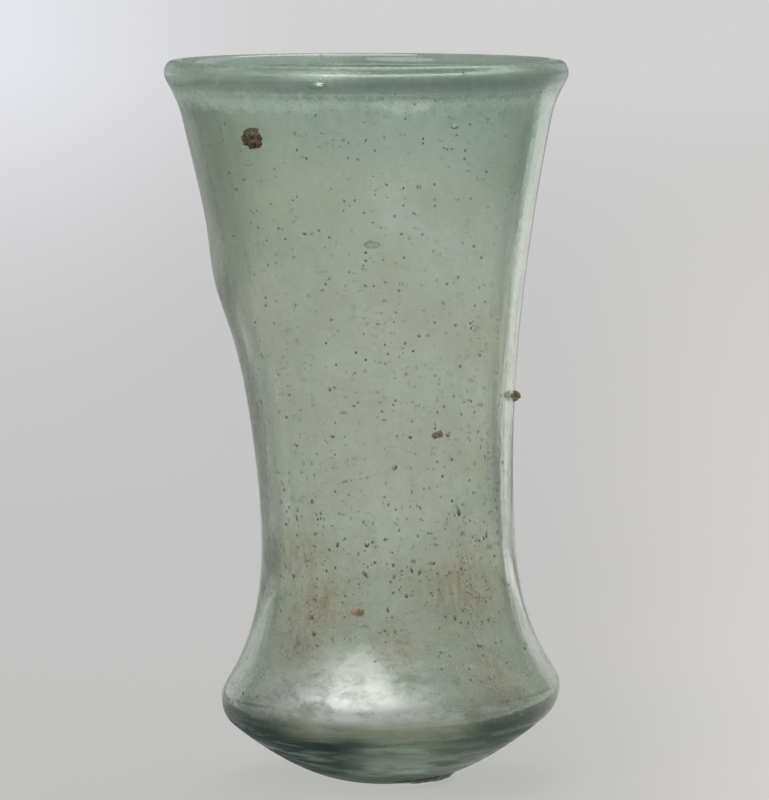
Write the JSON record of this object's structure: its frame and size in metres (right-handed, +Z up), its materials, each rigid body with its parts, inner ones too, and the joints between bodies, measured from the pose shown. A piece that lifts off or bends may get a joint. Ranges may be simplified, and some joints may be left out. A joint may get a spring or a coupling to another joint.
{
  "type": "glass beaker",
  "caption": "Free-blown bell beaker of bubbly green glass: flared mouth with a rounded lip, drawn-in waist, rounded keel and low conical base with a small flat tip.",
  "frame": {"origin": "level with the flat tip that it stands on, under the middle of the mouth", "axes": "+Z up out of the mouth, +X to the right and -Y towards the viewer of the picture"},
  "size_m": [0.069, 0.069, 0.124],
  "materials": {
    "green_glass": "fire-smooth blue-green glass full of small seed bubbles, with a thin hazy weathering film and brown soil stains low down",
    "scar_glass": "dark broken glass with soil in the break",
    "rusty_soil": "matt, rough, rust-brown hardened soil"
  },
  "bodies": {
    "root": {"vessel": "green_glass", "pontil_scar": "scar_glass", "rim_crust": "rusty_soil", "waist_crust": "rusty_soil", "edge_crust": "rusty_soil", "keel_crust": "rusty_soil"}
  },
  "joints": []
}
